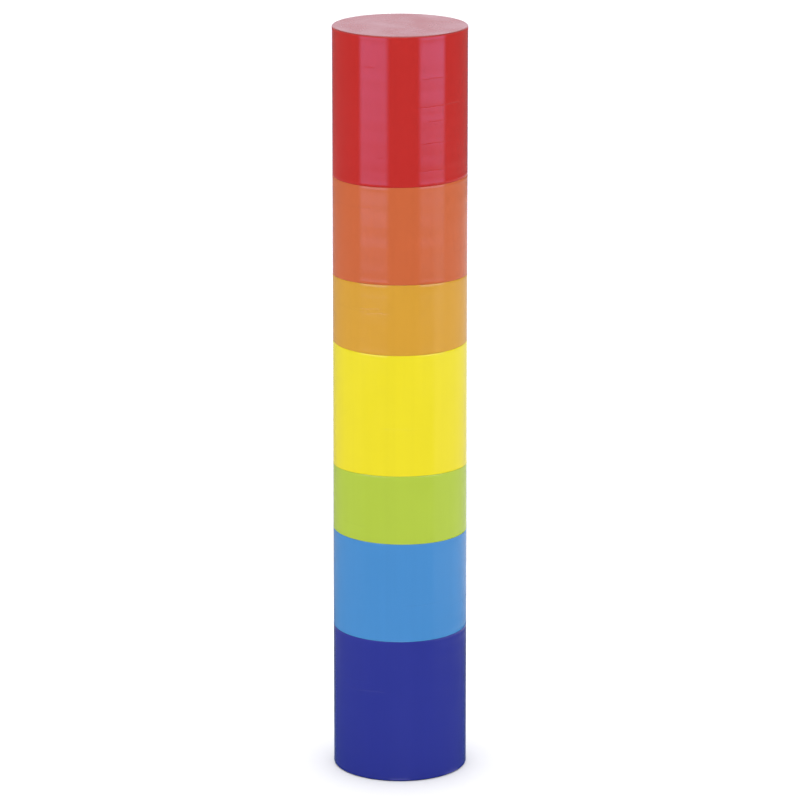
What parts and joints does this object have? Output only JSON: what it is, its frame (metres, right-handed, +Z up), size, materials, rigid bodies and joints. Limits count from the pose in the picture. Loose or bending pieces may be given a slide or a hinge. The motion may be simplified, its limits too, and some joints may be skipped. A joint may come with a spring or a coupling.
{
  "type": "leaning tower block puzzle",
  "caption": "Straight round column of coloured lacquered wooden blocks with slightly slanted faces; each block turns and lifts off on a loose centre dowel.",
  "frame": {"origin": "middle of the bottom face of the dark blue block, on the table", "axes": "+Z up along the column, -Y towards the front, +X to the right"},
  "size_m": [0.04, 0.04, 0.226],
  "materials": {
    "dark_blue_lacquer": "glossy coloured lacquer on wood",
    "light_blue_lacquer": "glossy coloured lacquer on wood",
    "green_lacquer": "glossy coloured lacquer on wood",
    "yellow_lacquer": "glossy coloured lacquer on wood",
    "amber_lacquer": "glossy coloured lacquer on wood",
    "orange_lacquer": "glossy coloured lacquer on wood",
    "red_lacquer": "glossy coloured lacquer on wood",
    "beech": "bare sanded beech"
  },
  "bodies": {
    "dark_blue_block": {"dark_blue_block": "dark_blue_lacquer"},
    "dowel_1": {"dowel_1": "beech"},
    "light_blue_block": {"light_blue_block": "light_blue_lacquer"},
    "dowel_2": {"dowel_2": "beech"},
    "green_block": {"green_block": "green_lacquer"},
    "dowel_3": {"dowel_3": "beech"},
    "yellow_block": {"yellow_block": "yellow_lacquer"},
    "dowel_4": {"dowel_4": "beech"},
    "amber_block": {"amber_block": "amber_lacquer"},
    "dowel_5": {"dowel_5": "beech"},
    "orange_block": {"orange_block": "orange_lacquer"},
    "dowel_6": {"dowel_6": "beech"},
    "red_block": {"red_block": "red_lacquer"}
  },
  "joints": [
    {"name": "light_blue_turn", "type": "hinge", "parent": "dark_blue_block", "child": "dowel_1", "pos_m": [0, 0, 0.044], "axis": [0, -0.0122, 0.9999], "continuous": true},
    {"name": "light_blue_lift", "type": "slide", "parent": "dowel_1", "child": "light_blue_block", "axis": [0, -0.0122, 0.9999], "range_m": [0, 0.02]},
    {"name": "green_turn", "type": "hinge", "parent": "light_blue_block", "child": "dowel_2", "pos_m": [0, 0, 0.074], "axis": [0.0122, 0, 0.9999], "continuous": true},
    {"name": "green_lift", "type": "slide", "parent": "dowel_2", "child": "green_block", "axis": [0.0122, 0, 0.9999], "range_m": [0, 0.02]},
    {"name": "yellow_turn", "type": "hinge", "parent": "green_block", "child": "dowel_3", "pos_m": [0, 0, 0.094], "axis": [0, 0.0436, 0.999], "continuous": true},
    {"name": "yellow_lift", "type": "slide", "parent": "dowel_3", "child": "yellow_block", "axis": [0, 0.0436, 0.999], "range_m": [0, 0.02]},
    {"name": "amber_turn", "type": "hinge", "parent": "yellow_block", "child": "dowel_4", "pos_m": [0, 0, 0.132], "axis": [0, -0.0244, 0.9997], "continuous": true},
    {"name": "amber_lift", "type": "slide", "parent": "dowel_4", "child": "amber_block", "axis": [0, -0.0244, 0.9997], "range_m": [0, 0.02]},
    {"name": "orange_turn", "type": "hinge", "parent": "amber_block", "child": "dowel_5", "pos_m": [0, 0, 0.152], "axis": [0, 0.0349, 0.9994], "continuous": true},
    {"name": "orange_lift", "type": "slide", "parent": "dowel_5", "child": "orange_block", "axis": [0, 0.0349, 0.9994], "range_m": [0, 0.02]},
    {"name": "red_turn", "type": "hinge", "parent": "orange_block", "child": "dowel_6", "pos_m": [0, 0, 0.182], "axis": [-0.0087, -0.0151, 0.9998], "continuous": true},
    {"name": "red_lift", "type": "slide", "parent": "dowel_6", "child": "red_block", "axis": [-0.0087, -0.0151, 0.9998], "range_m": [0, 0.02]}
  ]
}
